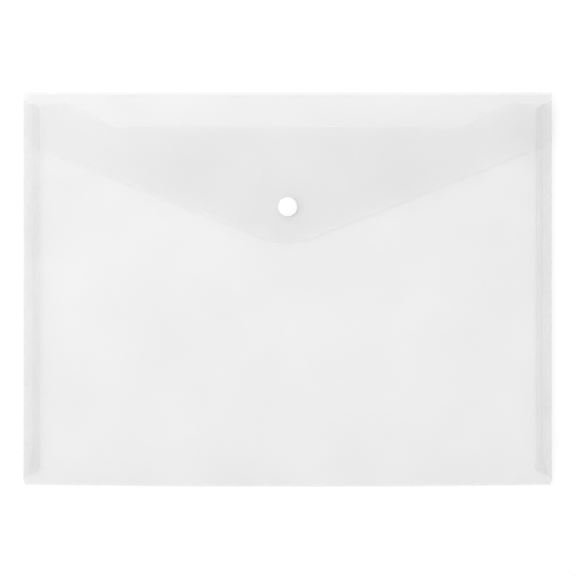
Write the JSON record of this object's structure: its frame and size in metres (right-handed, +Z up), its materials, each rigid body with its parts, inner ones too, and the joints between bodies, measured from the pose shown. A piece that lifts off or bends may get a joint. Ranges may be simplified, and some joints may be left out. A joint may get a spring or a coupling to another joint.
{
  "type": "document wallet",
  "caption": "Translucent plastic document wallet: a flat pocket with gusseted sides and a thumb recess, under a pointed fold-over flap that closes with a round white press stud.",
  "frame": {"origin": "on the table under the middle of the wallet, which lies on its back panel", "axes": "+X to the wallet's right, +Y to the top fold where the flap is joined, +Z up, out of the front"},
  "size_m": [0.33, 0.245, 0.0093],
  "materials": {
    "sheet": "frosted translucent polypropylene sheet",
    "snap": "opaque white moulded plastic"
  },
  "bodies": {
    "pocket": {"back_panel": "sheet", "front_panel": "sheet", "left_gusset": "sheet", "left_weld_tab": "sheet", "right_gusset": "sheet", "right_weld_tab": "sheet", "snap_stud": "snap", "snap_base": "snap"},
    "spine": {"top_spine": "sheet"},
    "cover": {"flap": "sheet", "snap_cap": "snap", "snap_socket": "snap"}
  },
  "joints": [
    {"name": "spine_fold", "type": "hinge", "parent": "pocket", "child": "spine", "pos_m": [0, 0.1223, 0.0002], "axis": [-1, 0, 0], "range_deg": [0, 90]},
    {"name": "flap_fold", "type": "hinge", "parent": "spine", "child": "cover", "pos_m": [0, 0.1223, 0.008], "axis": [-1, 0, 0], "range_deg": [0, 89]}
  ]
}
